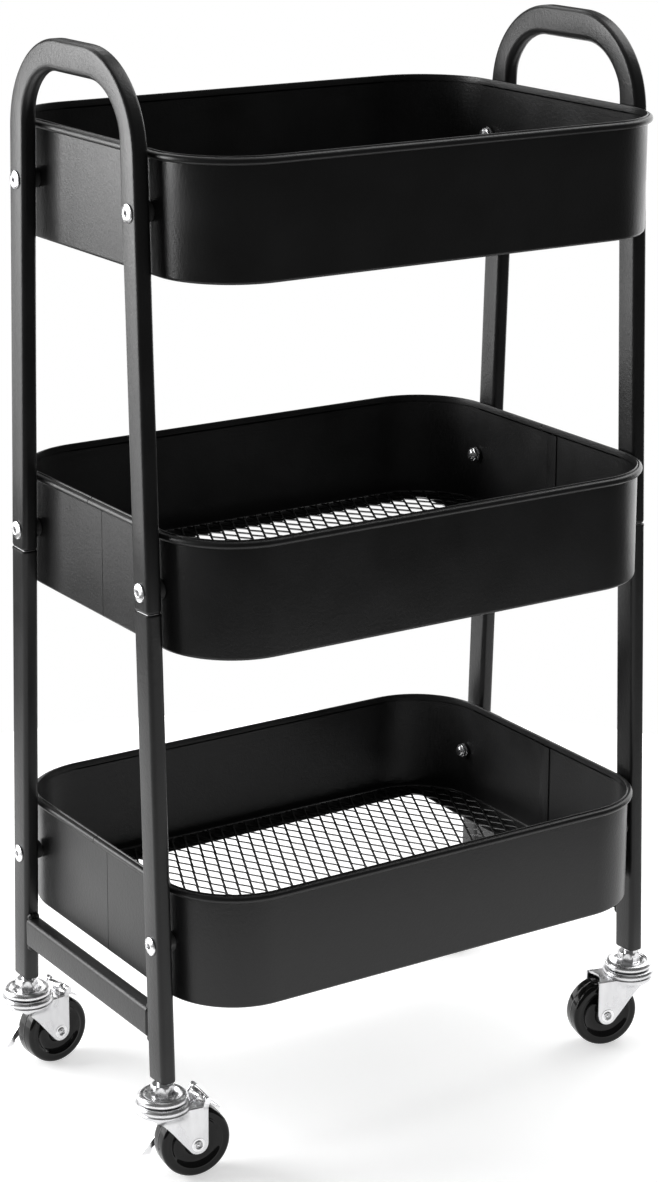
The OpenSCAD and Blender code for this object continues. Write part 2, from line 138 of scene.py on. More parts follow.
BRAKED = ("front_left", "rear_left")


def half_at(z):
    """Distance of a leg's centre line from the middle of the cart at a height."""
    return LEG_HALF - (z - JOINT_Z) * math.tan(LEAN)


# ---- materials ----


def add_node(tree, kind, **settings):
    node = tree.nodes.new(kind)
    for key, value in settings.items():
        if key in node.inputs:
            node.inputs[key].default_value = value
        else:
            setattr(node, key, value)
    return node


def noise(tree, coords, scale, detail=2.0, stretch=(1, 1, 1)):
    """A noise texture over the object's own coordinates; scale is in features a metre."""
    mapping = add_node(tree, "ShaderNodeMapping", Scale=stretch)
    tree.links.new(coords, mapping.inputs["Vector"])
    texture = add_node(tree, "ShaderNodeTexNoise", Scale=scale, Detail=detail)
    tree.links.new(mapping.outputs[0], texture.inputs["Vector"])
    return texture.outputs["Fac"]


def spread(tree, source, low, high):
    """Stretches the middle of a noise to run between two values."""
    ramp = add_node(tree, "ShaderNodeMapRange")
    ramp.inputs["From Min"].default_value = 0.3
    ramp.inputs["From Max"].default_value = 0.7
    ramp.inputs["To Min"].default_value = low
    ramp.inputs["To Max"].default_value = high
    tree.links.new(source, ramp.inputs["Value"])
    return ramp.outputs["Result"]


def surface(name, dark, light, rough, patch, grains, metallic=0.0, specular=0.5, stretch=(1, 1, 1)):
    """A finish whose colour and roughness drift in soft patches, with layers of relief.

    dark and light are the two shades, rough its two roughnesses, patch the patches a metre,
    and grains a list of (features a metre, depth in metres).
    """
    material = bpy.data.materials.new(name)
    material.use_nodes = True
    tree = material.node_tree
    shader = tree.nodes["Principled BSDF"]
    shader.inputs["Metallic"].default_value = metallic
    shader.inputs["Specular IOR Level"].default_value = specular
    coords = add_node(tree, "ShaderNodeTexCoord").outputs["Object"]
    drift = noise(tree, coords, patch, 3.0, stretch)
    shades = add_node(tree, "ShaderNodeMix", data_type="RGBA")
    shades.inputs["A"].default_value = (*dark, 1)
    shades.inputs["B"].default_value = (*light, 1)
    tree.links.new(spread(tree, drift, 0.0, 1.0), shades.inputs["Factor"])
    tree.links.new(shades.outputs["Result"], shader.inputs["Base Color"])
    tree.links.new(spread(tree, drift, *rough), shader.inputs["Roughness"])
    normal = None
    for scale, depth in grains:
        bump = add_node(tree, "ShaderNodeBump", Distance=depth, Strength=1.0)
        tree.links.new(noise(tree, coords, scale, 2.0, stretch), bump.inputs["Height"])
        if normal:
            tree.links.new(normal, bump.inputs["Normal"])
        normal = bump.outputs["Normal"]
    tree.links.new(normal, shader.inputs["Normal"])
    return material


def grey(value, cool=1.0):
    return (value, value, value * cool)


ORANGE_PEEL = [(9, 0.0004), (420, 0.00011), (1100, 0.00008)]
FINISHES = {
    "powder_coat": surface(
        "powder_coat", grey(0.009), grey(0.014, 1.03), (0.30, 0.38), 25, ORANGE_PEEL, specular=0.4
    ),
    "mesh_powder_coat": surface(
        "mesh_powder_coat", grey(0.006), grey(0.011), (0.34, 0.46), 60, [(700, 0.00005)], specular=0.4
    ),
    "chrome_plate": surface(
        "chrome_plate", grey(0.80, 1.01), grey(0.92, 1.01), (0.12, 0.20), 90, [(160, 0.00003)], metallic=1.0
    ),
    "screw_steel": surface(
        "screw_steel", grey(0.74, 1.01), grey(0.90, 1.01), (0.22, 0.32), 120, [(260, 0.00003)], metallic=1.0
    ),
    "grey_rubber": surface(
        "grey_rubber", grey(0.045), grey(0.075), (0.35, 0.5), 90, [(300, 0.00004)], specular=0.5
    ),
    "zinc_plate": surface(
        "zinc_plate", grey(0.66, 1.02), grey(0.80, 1.01), (0.24, 0.34), 120,
        [(60, 0.00008), (900, 0.000015)], metallic=1.0, stretch=(1, 1, 0.35),
    ),
    "wheel_plastic": surface(
        "wheel_plastic", grey(0.002), grey(0.005), (0.08, 0.15), 70,
        [(110, 0.00005), (800, 0.00001)], specular=0.28,
    ),
    "black_nylon": surface("black_nylon", grey(0.010), grey(0.022), (0.42, 0.56), 110, [(900, 0.00004)]),
}

# ---- mesh helpers: a shell is (points, faces) in millimetres ----

SHARP = math.radians(38)


def ease(t):
    t = min(1.0, max(0.0, t))
    return t * t * (3 - 2 * t)


def arc(cx, cy, radius, start, end, steps):
    """Points on a circle from one angle to another, in degrees, both ends included."""
    angles = [math.radians(start + (end - start) * i / steps) for i in range(steps + 1)]
    return [(cx + radius * math.cos(a), cy + radius * math.sin(a)) for a in angles]


def rounded_rect(width, height, radius, steps=6, low_radius=None):
    """Outline of a rounded rectangle; its two lower corners may have a radius of their own."""
    low = radius if low_radius is None else low_radius
    points = []
    for sx, sy, start, r in ((1, 1, 0, radius), (-1, 1, 90, radius), (-1, -1, 180, low), (1, -1, 270, low)):
        points += arc(sx * (width / 2 - r), sy * (height / 2 - r), r, start, start + 90, steps)
    return points


def loft(rings, closed=False):
    """Skin over rings of equal length; an open one is capped at both ends."""
    count = len(rings[0])
    points = [p for ring in rings for p in ring]
    faces = []
    for i in range(len(rings) if closed else len(rings) - 1):
        here = i * count
        there = (i + 1) % len(rings) * count
        for j in range(count):
            k = (j + 1) % count
            faces.append((here + j, here + k, there + k, there + j))
    if not closed:
        faces.append(tuple(range(count)))
        faces.append(tuple(range(len(points) - count, len(points))))
    return points, faces


def lathe(profile, steps=72):
    """Turns a closed (radius, height) profile about Z."""
    angles = [2 * math.pi * i / steps for i in range(steps)]
    return loft([[(r * math.cos(a), r * math.sin(a), z) for r, z in profile] for a in angles], closed=True)


def hexagon_radius(angle, across):
    """Distance to the side of a hexagon, across its flats, in a direction in degrees."""
    return across / 2 / math.cos(math.radians((angle + 30) % 60 - 30))


def hex_ring(z, across, limit=1e9, steps=48):
    """Ring of points on a hexagon, cut off by a circle of radius limit."""
    ring = []
    for i in range(steps):
        angle = 360 * i / steps
        reach = min(limit, hexagon_radius(angle, across))
        ring.append((reach * math.cos(math.radians(angle)), reach * math.sin(math.radians(angle)), z))
    return ring


def circle_ring(z, radius, steps=48):
    return [(x, y, z) for x, y in arc(0, 0, radius, 0, 360 - 360 / steps, steps - 1)]


def plate(outlines, thickness, edge=0.25):
    """A flat plate about Z = 0 with rounded edges; outlines after the first are holes."""
    curve = bpy.data.curves.new("plate", "CURVE")
    curve.dimensions = "2D"
    curve.fill_mode = "BOTH"
    curve.extrude = thickness / 2 - edge
    curve.bevel_depth = edge
    curve.bevel_resolution = 2
    curve.offset = -edge
    for outline in outlines:
        spline = curve.splines.new("POLY")
        spline.points.add(len(outline) - 1)
        for point, (x, y) in zip(spline.points, outline):
            point.co = (x, y, 0, 1)
        spline.use_cyclic_u = True
    holder = bpy.data.objects.new("plate", curve)
    mesh = bpy.data.meshes.new_from_object(holder)
    points = [tuple(v.co) for v in mesh.vertices]
    faces = [tuple(f.vertices) for f in mesh.polygons]
    bpy.data.objects.remove(holder)
    bpy.data.meshes.remove(mesh)
    bpy.data.curves.remove(curve)
    return points, faces


def placed(shells, matrix):
    """The shells, moved by a matrix in millimetres."""
    return [([matrix @ Vector(p) for p in points], faces) for points, faces in shells]


def mesh_piece(name, shells, finish, body="root", replaces=()):
    """Makes one object of the library from shells, rides it on a body and gives it its finish."""
    bm = bmesh.new()
    for points, faces in shells:
        verts = [bm.verts.new(Vector(p) * MM) for p in points]
        for face in faces:
            bm.faces.new([verts[i] for i in face])
        bmesh.ops.remove_doubles(bm, verts=verts, dist=2e-6)
    bmesh.ops.recalc_face_normals(bm, faces=bm.faces)
    for face in bm.faces:
        face.smooth = True
    for edge in bm.edges:
        edge.smooth = not (edge.is_manifold and edge.calc_face_angle() > SHARP)
    mesh = bpy.data.meshes.new(name)
    bm.to_mesh(mesh)
    bm.free()
    piece = bpy.data.objects.new(name, mesh)
    bpy.context.scene.collection.objects.link(piece)
    mesh.materials.append(FINISHES[finish])
    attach(piece, body)
    if replaces:
        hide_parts(*replaces)
    return piece


# ---- side frames ----


def tube_ring(x_mid, outer, inner, inset=0.0, radius=TUBE_R, grip=TUBE_R):
    """Rounded section of a frame tube between its outer and inner contour points (y, z)."""
    middle = (Vector(outer) + Vector(inner)) / 2
    across = Vector(outer) - Vector(inner)
    unit = across.normalized()
    width = TUBE_D - 2 * inset
    section = rounded_rect(width, across.length - 2 * inset, radius - inset, low_radius=grip - inset)
    return [(x_mid + a, middle.x + unit.x * b, middle.y + unit.y * b) for a, b in section]


def leg_edges(z, end):
    """Outer and inner edge of a leg at a height, as (y, z); end is -1 in front and 1 behind."""
    nose = Vector((math.cos(LEAN), math.sin(LEAN))) * TUBE_W / 2
    middle = Vector((half_at(z), z))
    return [(end * p.x, p.y) for p in (middle + nose, middle - nose)]


def bend_centre(z, side_gap, radius):
    """Centre (y, z) of a handle bend that runs into the leg's outer or inner side."""
    return Vector((half_at(z) + (side_gap - radius) / math.cos(LEAN), z))


def handle_edges():
    """Outer and inner contour of the handle from the front leg's top over to the rear's, each
    with the tube's inset and its corner radii outside and inside."""
    steps = 28
    outer_at = bend_centre(TOP_Z - HOOP_OUT_R, TUBE_W / 2, HOOP_OUT_R)
    inner_at = bend_centre(TOP_Z - HOOP_BAR - HOOP_IN_R, -TUBE_W / 2, HOOP_IN_R)
    half = []
    for i in range(steps + 1):
        angle = LEAN + (math.pi / 2 - LEAN) * i / steps
        ray = Vector((math.cos(angle), math.sin(angle)))
        bent = ease(i / 8)
        edge = TUBE_R + (HOOP_EDGE_R - TUBE_R) * bent
        grip = TUBE_R + (HOOP_GRIP_R - TUBE_R) * bent
        half.append((outer_at + ray * HOOP_OUT_R, inner_at + ray * HOOP_IN_R, edge, grip))
    front = [((-o.x, o.y), (-i.x, i.y), 0.0, edge, grip) for o, i, edge, grip in half]
    rear = [((o.x, o.y), (i.x, i.y), 0.0, edge, grip) for o, i, edge, grip in reversed(half)]
    return front + rear


def hoop_tube(side):
    """The upper frame tube; its lower ends are swaged in a little where they enter the legs."""
    mouth = [(0.25, 1.3), (0.9, 0.5), (2.6, 0.0), (60, 0.0), (150, 0.0), (230, 0.0)]
    front = [(*leg_edges(JOINT_Z + up, -1), inset) for up, inset in mouth]
    rear = [(*leg_edges(JOINT_Z + up, 1), inset) for up, inset in reversed(mouth)]
    return loft([tube_ring(side * FRAME_X, *edges) for edges in front + handle_edges() + rear])


def lower_leg(side, end):
    """A lower leg with a rolled-over top edge, which catches the light at the joint."""
    levels = [(LEG_END_Z, 1.0), (LEG_END_Z + 0.3, 0.3), (LEG_END_Z + 1, 0.0)]
    levels += [(BAR_LOW, 0.0), (BAR_HIGH, 0.0)]
    levels += [(JOINT_Z - 2.4, 0.0), (JOINT_Z - 1.6, -0.25), (JOINT_Z - 0.6, -0.2), (JOINT_Z, 0.7)]
    return loft([tube_ring(side * FRAME_X, *leg_edges(z, end), inset) for z, inset in levels])


def crossbar(side):
    """The low bar between two legs, rounded off where it meets them."""
    middle = (BAR_LOW + BAR_HIGH) / 2
    reach = half_at(middle) - TUBE_W / 2
    rings = [(-reach - 1, 1.2), (-reach + 0.2, 0.9), (-reach + 1.2, 0.0), (0, 0.0)]
    rings += [(-y, inset) for y, inset in reversed(rings[:-1])]
    return loft([tube_ring(side * FRAME_X, (y, BAR_HIGH), (y, BAR_LOW), inset) for y, inset in rings])


def weld_bead(side, y, z, seed):
    """A lumpy fillet of weld across the tube, in the corner of the bar and a leg."""
    rng = random.Random(seed)
    half = TUBE_D / 2 - 1.2
    steps = 22
    rings = []
    for i in range(steps + 1):
        t = 2 * i / steps - 1
        taper = math.sqrt(max(0.02, 1 - t**6))
        radius = 2.5 * taper * (1 + 0.10 * math.sin(14 * t + seed)) + rng.uniform(-0.06, 0.06)
        ring = arc(y, z, radius, 0, 330, 11)
        rings.append([(side * FRAME_X + half * t, py, pz) for py, pz in ring])
    return loft(rings)


def build_frames():
    for side, word in ((-1, "left"), (1, "right")):
        mesh_piece(word + "_hoop_tube", [hoop_tube(side)], "powder_coat", replaces=[word + "_hoop"])
        mesh_piece(word + "_low_bar", [crossbar(side)], "powder_coat", replaces=[word + "_crossbar"])
        welds = []
        for end in (-1, 1):
            for z, lift in ((BAR_LOW, -0.6), (BAR_HIGH, 0.6)):
                y = end * (half_at(z) - TUBE_W / 2 - 0.6)
                welds.append(weld_bead(side, y, z + lift, seed=len(welds) + 5 * side))
        mesh_piece(word + "_bar_welds", welds, "powder_coat")
        for end, place in ((-1, "front"), (1, "rear")):
            node = f"{place}_{word}_leg"
            mesh_piece(node + "_tube", [lower_leg(side, end)], "powder_coat", replaces=[node])


# ---- trays ----


def corner_rail(length, width, radius, corners, steps=18):
    """Points and outward normals round some corners of a rounded rectangle, front left first."""
    cx = length / 2 - radius
    cy = width / 2 - radius
    places = ((-cx, -cy, 180), (cx, -cy, 270), (cx, cy, 0), (-cx, cy, 90))
    rail = []
    for x, y, start in (places[c] for c in corners):
        for i in range(steps + 1):
            angle = math.radians(start + 90 * i / steps)
            nose = Vector((math.cos(angle), math.sin(angle)))
            rail.append((Vector((x, y)) + nose * radius, nose))
    return rail


def tray_rails(corners, end_y=None):
    """The wall rail and the floor opening's rail, matched point for point.

    With end_y the rails are open, and run on straight to that Y along both tray ends.
    """
    rails = []
    opening = (TRAY_L - 2 * FLANGE_END, TRAY_W - 2 * FLANGE_SIDE, OPENING_R)
    for length, width, radius in ((TRAY_L, TRAY_W, TRAY_R), opening):
        rail = corner_rail(length, width, radius, corners)
        if end_y is not None:
            first = rail[0][1]
            last = rail[-1][1]
            rail.insert(0, (Vector((first.x * length / 2, end_y)), first))
            rail.append((Vector((last.x * length / 2, end_y)), last))
        rails.append(rail)
    return rails


def sheet_profile():
    """Closed section of wall, foot bend and floor flange: (0 on the wall rail or 1 on the
    opening's, offset outward, height over the tray's underside)."""
    top = TRAY_H - RIM_DEEP + 1
    outer = arc(-FOOT_BEND, FOOT_BEND, FOOT_BEND, -90, 0, 6)
    inner = arc(-FOOT_BEND, FLOOR_LIFT + FOOT_BEND, FOOT_BEND - SHEET, 0, -90, 5)
    section = [(0, *p) for p in outer] + [(0, 0, top), (0, -SHEET, top)] + [(0, *p) for p in inner]
    section += [(1, 0.3, FLOOR_LIFT + SHEET), (1, 0.0, FLOOR_LIFT + SHEET - 0.3)]
    section += [(1, 0.0, FLOOR_LIFT + 0.3), (1, 0.3, FLOOR_LIFT)]
    hem = -FOOT_BEND - 0.8
    return section + [(0, hem, FLOOR_LIFT), (0, hem, 0.4), (0, hem + 0.4, 0)]


def rim_profile():
    """Closed section of the rolled rim: an inner lip, a fine valley, and the rolled bead."""
    lip = arc(-0.4, -0.6, 0.6, 180, 40, 5)
    bead = arc(RIM_BEAD_OUT, -RIM_BEAD_DROP, 2.55, 118, -125, 20)
    return [(-1.0, -RIM_DEEP)] + lip + [(0.28, -0.85)] + bead + [(-0.1, -RIM_DEEP)]


def seam_gap(height, wide):
    """Half the gap of a wall seam: it gapes in the middle where the sheet springs."""
    return SEAM_GAP / 2 + wide * math.sin(math.pi * min(1.0, max(0.0, height / TRAY_H))) ** 2


def tray_sheet(foot, corners, side=0, wide=0.0):
    """Walls and floor flange. side is 0 for a whole tray, -1 for a front half, 1 for a rear."""
    wall, edge = tray_rails(corners, SEAM_Y if side else None)
    rings = []
    for i, pair in enumerate(zip(wall, edge)):
        at_end = side and i in (0, len(wall) - 1)
        ring = []
        for rail, offset, height in sheet_profile():
            point, nose = pair[rail]
            spot = point + nose * offset
            shift = side * seam_gap(height, wide) if at_end else 0.0
            ring.append((spot.x, spot.y + shift, foot + height))
        rings.append(ring)
    return loft(rings, closed=not side)


def tray_rim(foot, corners, side=0):
    """The rolled rim of a whole tray or a half."""
    end_y = RIM_JOINT_Y + side * RIM_JOINT_GAP / 2 if side else None
    rings = []
    for point, nose in tray_rails(corners, end_y)[0]:
        spots = [(point + nose * offset, drop) for offset, drop in rim_profile()]
        rings.append([(p.x, p.y, foot + TRAY_H + drop) for p, drop in spots])
    return loft(rings, closed=not side)


def seam_strips(foot):
    """Tabs behind the two wall seams, and the wire that shows in the two rim joints."""
    shells = []
    for end in (-1, 1):
        x = end * (TRAY_L / 2 - SHEET - 0.45)
        section = rounded_rect(0.8, 11, 0.35, 3)
        levels = (foot + FLOOR_LIFT + SHEET + 1, foot + TRAY_H - RIM_DEEP)
        shells.append(loft([[(x + a, SEAM_Y + b, z) for a, b in section] for z in levels]))
        wire = arc(end * (TRAY_L / 2 + RIM_BEAD_OUT), foot + TRAY_H - RIM_BEAD_DROP, 2.0, 0, 345, 23)
        shells.append(loft([[(a, y, z) for a, z in wire] for y in (RIM_JOINT_Y - 3, RIM_JOINT_Y + 3)]))
    return shells


def build_trays():
    foot = TRAYS["top"]
    everything = (0, 1, 2, 3)
    shell = [tray_sheet(foot, everything), tray_rim(foot, everything)]
    mesh_piece("top_tray_pressing", shell, "powder_coat", replaces=["top_tray_shell"])
    for name, wide in (("middle", 0.3), ("bottom", 0.75)):
        foot = TRAYS[name]
        for side, corners, word in ((-1, (0, 1), "front"), (1, (2, 3), "rear")):
            shell = [tray_sheet(foot, corners, side, wide), tray_rim(foot, corners, side)]
            node = f"{name}_tray_{word}"
            mesh_piece(node + "_pressing", shell, "powder_coat", replaces=[node])
        mesh_piece(name + "_tray_seam_tabs", seam_strips(foot), "powder_coat")


# ---- expanded-metal floors ----


def mesh_edge(x, y):
    """Distance inside the cut edge of a mesh floor, negative outside it."""
    margin = SHEET + MESH_MARGIN
    radius = TRAY_R - margin
    qx = abs(x) - (TRAY_L / 2 - margin - radius)
    qy = abs(y) - (TRAY_W / 2 - margin - radius)
    return radius - math.hypot(max(qx, 0), max(qy, 0)) - min(max(qx, qy), 0)


def strand_points(column):
    """Centre line of one zigzag strand of the expanded sheet: it runs along Y between two
    columns of bonds, and rises at one and dips at the other."""
    rows = math.ceil(TRAY_W / DIAMOND_Y)
    side_gap = STRAND_W / 2 * math.cos(STRAND_TILT)
    rise = STRAND_W / 2 * math.sin(STRAND_TILT)
    points = []
    for row in range(-rows, rows):
        right = (row + column) % 2
        for part in (0.0, 0.1, 0.5, 0.9):
            turn = ease(part)
            across = turn if not right else 1 - turn
            x = (column + across) * DIAMOND_X / 2 + side_gap * (1 - 2 * across)
            points.append(Vector((x, (row + part) * DIAMOND_Y / 2, rise * (2 * across - 1))))
    return points


def clipped_runs(points):
    """The stretches of a line inside the mesh's cut edge."""
    runs = [[]]
    for a, b in zip(points, points[1:]):
        da = mesh_edge(a.x, a.y)
        db = mesh_edge(b.x, b.y)
        if da > 0 and not runs[-1]:
            runs[-1].append(a)
        if (da > 0) != (db > 0):
            runs[-1].append(a.lerp(b, da / (da - db)))
        if db > 0:
            runs[-1].append(b)
        elif runs[-1]:
            runs.append([])
    return [run for run in runs if len(run) > 1 and (run[-1] - run[0]).length > STRAND_W]


def strand_shell(run):
    """A flat strip swept along a run, tilted as the slit sheet is when it is stretched."""
    c = math.cos(STRAND_TILT)
    s = math.sin(STRAND_TILT)
    section = rounded_rect(STRAND_W, STRAND_T, 0.15, 1)
    return loft([[(p.x + a * c + b * s, p.y, p.z - a * s + b * c) for a, b in section] for p in run])


def build_mesh_floors():
    columns = math.ceil(TRAY_L / DIAMOND_X)
    runs = [run for column in range(-columns, columns) for run in clipped_runs(strand_points(column))]
    shells = [strand_shell(run) for run in runs]
    for name, foot in TRAYS.items():
        lift = foot + FLOOR_LIFT + SHEET + STRAND_W * math.sin(STRAND_TILT) + STRAND_T / 2
        floor = placed(shells, Matrix.Translation((0, 0, lift)))
        mesh_piece(name + "_expanded_floor", floor, "mesh_powder_coat", replaces=[name + "_tray_mesh"])


# ---- fasteners ----


def screw_shells():
    """A button-head screw with a hex socket, its head on Z = 0."""
    dome = 14.0
    top = 2.5
    rings = [circle_ring(0, 6.0), circle_ring(0.15, 6.35), circle_ring(0.5, SCREW_HEAD_R)]
    for radius in (6.2, 5.7, 5.0, 4.2, 3.4, 2.95):
        rings.append(circle_ring(top - dome + math.sqrt(dome**2 - radius**2), radius))
    rings += [circle_ring(2.05, 2.6), hex_ring(1.9, 4.0), hex_ring(0.5, 3.9)]
    shank = [circle_ring(-25, 2.7), circle_ring(-24.5, SHANK_R), circle_ring(0.1, SHANK_R)]
    return [loft(rings), loft(shank)]


def cap_nut_shells():
    """A domed nut with chamfered flats, opening at Z = 0 and pointing down."""
    rings = [circle_ring(0, 5.4), circle_ring(-0.7, 5.4), hex_ring(-0.7, NUT_ACROSS, 5.0)]
    rings += [hex_ring(-1.1, NUT_ACROSS), hex_ring(-2.8, NUT_ACROSS), hex_ring(-3.3, NUT_ACROSS, 5.0)]
    rings += [circle_ring(-3.5, 4.4), circle_ring(-4.6, 4.0)]
    rings += [circle_ring(-5.4, 3.0), circle_ring(-5.9, 1.7), circle_ring(-6.05, 0.6)]
    return [loft(rings)]


def spacer_shell():
    """A rubber washer between a tray and a leg, with its edges rounded off."""
    thick = FRAME_OUT - TUBE_D - TRAY_L / 2
    lip = [(6.2, 0.1), (6.6, 0.4), (6.7, 0.9), (6.6, thick - 0.6), (6.1, thick - 0.1), (3.2, thick - 0.1)]
    return lathe([(3.2, 0.1)] + lip)


def build_fasteners():
    for name, foot in TRAYS.items():
        low, high = box_mm(name + "_tray_screws")
        z = (low.z + high.z) / 2
        screws = []
        nuts = []
        spacers = []
        for side in (-1, 1):
            for end in (-1, 1):
                turn = Matrix.Rotation(side * math.pi / 2, 4, "Y")
                spin = Matrix.Rotation(math.radians(17 + 23 * side * end + foot), 4, "Z")
                seat = Matrix.Translation((side * FRAME_OUT, end * half_at(z), z))
                screws += placed(screw_shells(), seat @ turn @ spin)
                inner = Matrix.Translation((side * (TRAY_L / 2 - SHEET - NUT_WASHER), end * half_at(z), z))
                nuts += placed(cap_nut_shells(), inner @ turn @ spin)
                gap = Matrix.Translation((side * TRAY_L / 2, end * half_at(z), z))
                spacers += placed([spacer_shell()], gap @ turn)
        mesh_piece(name + "_button_screws", screws, "screw_steel", replaces=[name + "_tray_screws"])
        mesh_piece(name + "_domed_nuts", nuts, "screw_steel", replaces=[name + "_tray_cap_nuts"])
        mesh_piece(name + "_spacer_washers", spacers, "grey_rubber", replaces=[name + "_tray_spacers"])


# ---- casters: u trails behind the stem, v runs along the axle, z is up ----


def caster_place(corner):
    """Matrix from a caster's own u, v, z to the cart's frame."""
    stem = Vector(JOINTS[corner + "_swivel_turn"]["pos_m"]) / MM
    axle = Vector(JOINTS[corner + "_wheel_roll"]["pos_m"]) / MM - stem
    yaw = math.atan2(axle.y, axle.x)
    return Matrix.Translation((stem.x, stem.y, 0)) @ Matrix.Rotation(yaw, 4, "Z")


def on_axle(corner):
    """Matrix from a part turned about Z to its place on the axle."""
    lift = Matrix.Translation((TRAIL, 0, AXLE_Z))
    return caster_place(corner) @ lift @ Matrix.Rotation(math.pi / 2, 4, "X")


def upright(v):
    """Matrix that stands an (u, z) plate up, with its middle at v."""
    return Matrix.Translation((0, v, 0)) @ Matrix.Rotation(math.pi / 2, 4, "X")


def stem_cap():
    """The dished chrome cap with a rolled edge, under the stem nut."""
    dish = [(4.3, CAP_Z + 1.6), (8.4, CAP_Z + 1.4), (10.2, CAP_Z + 1.9), (11.2, CAP_Z + 2.7)]
    roll = arc(14.4, CAP_Z + 1.7, 3.1, 140, 0, 16) + arc(15.3, CAP_Z + 1.7, 2.2, -10, -95, 8)
    return lathe(dish + roll + [(13.4, CAP_Z + 0.4), (11.5, CAP_Z), (4.3, CAP_Z)])


def stem_nut():
    """The hex nut, chamfered at both ends, with a washer face."""
    across = 14.4
    rings = [circle_ring(NUT_LOW, 8.6), circle_ring(NUT_LOW + 0.8, 8.6), circle_ring(NUT_LOW + 1.0, 8.3)]
    rings += [hex_ring(NUT_LOW + 1.0, across, 7.4), hex_ring(NUT_LOW + 1.6, across)]
    rings += [hex_ring(NUT_HIGH - 1.0, across), hex_ring(NUT_HIGH, across, 7.1)]
    return loft(rings)


def crown():
    """Top of a fork: the round ball race with its rolled edge."""
    under = PLATE_Z - PLATE_T
    roll = arc(CROWN_R - CROWN_ROLL_R, CROWN_Z - CROWN_ROLL_R, CROWN_ROLL_R, 90, -60, 16)
    return lathe([(4.1, CROWN_Z)] + roll + [(17.2, PLATE_Z - 1.0), (16.6, under), (4.1, under)])


def cheek_low(u):
    """Lower edge of a fork cheek at a distance behind the stem."""
    if u > TRAIL - BOSS_R * 0.75:
        return AXLE_Z - math.sqrt(max(0.0, BOSS_R**2 - (u - TRAIL) ** 2))
    outline = ((SKIRT_U, SKIRT_LOW), (-4.5, 44.4), (2.6, 36.4), (9.2, 28))
    outline += ((TRAIL - BOSS_R * 0.75, AXLE_Z - BOSS_R * 0.66),)
    for (ua, za), (ub, zb) in zip(outline, outline[1:]):
        if u <= ub:
            return za + (zb - za) * (u - ua) / (ub - ua)
    return outline[-1][1]


def skirt_ring(u, v_top, v_flare, low, nose):
    """Ring round the pressed skirt at one station: down its outer face and up its inner one.

    nose turns the cheek's (u, v) offset into the plan, so the front of the skirt uses it too.
    """
    levels = 9
    outer = [(v_top, PLATE_Z - 0.1), (v_flare, PLATE_Z - 1.1)]
    deep = PLATE_Z - 1.1 - low
    for i in range(1, levels + 1):
        z = PLATE_Z - 1.1 - deep * i / levels
        pull = ease((PLATE_Z - 1.1 - z) / 8)
        outer.append((v_flare + (CHEEK_V - v_flare) * pull if nose is None else v_flare - 0.3, z))
    last = outer[-1][0]
    outer[-1] = (last, low + 0.35)
    edge = [(last - 0.35, low), (last - CHEEK_T + 0.35, low)]
    inner = [(v - CHEEK_T, z) for v, z in reversed(outer[1:])]
    section = outer + edge + inner + [(v_top - CHEEK_T, PLATE_Z - 1.7)]
    if nose is None:
        return [(u, v, z) for v, z in section]
    return [(nose.x * v, nose.y * v, z) for v, z in section]


def skirt():
    """Cheeks and skirt of a fork, one pressing that runs round the front of the crown."""
    top_r = CROWN_R - 1.3
    flare_r = CROWN_R - 0.4
    run = TRAIL - BOSS_R * 0.75 - SKIRT_U
    stations = [SKIRT_U + run * i / 22 for i in range(22)]
    boss_angles = (139, 125, 110, 95, 80, 65, 50, 36, 24, 12, 0)
    stations += [TRAIL + BOSS_R * math.cos(math.radians(a)) for a in boss_angles]
    side = []
    for u in stations:
        v_top = math.sqrt(max((CHEEK_V - 1.2) ** 2, top_r**2 - u**2))
        v_flare = math.sqrt(max(CHEEK_V**2, flare_r**2 - u**2))
        side.append(skirt_ring(u, v_top, v_flare, cheek_low(u), None))
    middle = len(side[-1]) / 2
    side.append([(u + 0.3, v + (0.3 if i > middle else -0.3), z) for i, (u, v, z) in enumerate(side[-1])])
    turn = math.degrees(math.atan2(math.sqrt(flare_r**2 - SKIRT_U**2), SKIRT_U))
    steps = 16
    front = []
    for i in range(1, steps):
        angle = math.radians(turn + (360 - 2 * turn) * i / steps)
        nose = Vector((math.cos(angle), math.sin(angle)))
        front.append(skirt_ring(0, top_r, flare_r, SKIRT_LOW, nose))
    far = [[(u, -v, z) for u, v, z in ring] for ring in side]
    return loft(list(reversed(side)) + front + far)


def tongue(braked):
    """The flat of the fork between the cheeks, behind the crown; its end is hollowed."""
    back = TRAIL + BOSS_R
    wide = CHEEK_V - 0.9
    sag = 3.0 if braked else 4.2
    shares = (1, 0.8, 0.55, 0.3, 0, -0.3, -0.55, -0.8, -1)
    hollow = [(back - sag * math.cos(math.pi / 2 * t), -wide * t) for t in shares]
    outline = [(6, wide), (6, -wide)] + hollow
    return placed([plate([outline], PLATE_T, 0.3)], Matrix.Translation((0, 0, PLATE_Z - PLATE_T / 2)))


def brake_ears(pivot):
    """The two lugs of a braked fork that hold the lever's pin."""
    round_r = 2.3
    foot_z = PLATE_Z - 3
    outline = arc(pivot.x, pivot.y, round_r, -20, 190, 16)
    outline += [(pivot.x - 3.6, foot_z), (TRAIL + BOSS_R, foot_z)]
    lug = plate([outline], CHEEK_T, 0.3)
    return [shell for v in (-1, 1) for shell in placed([lug], upright(v * (CHEEK_V - CHEEK_T / 2)))]


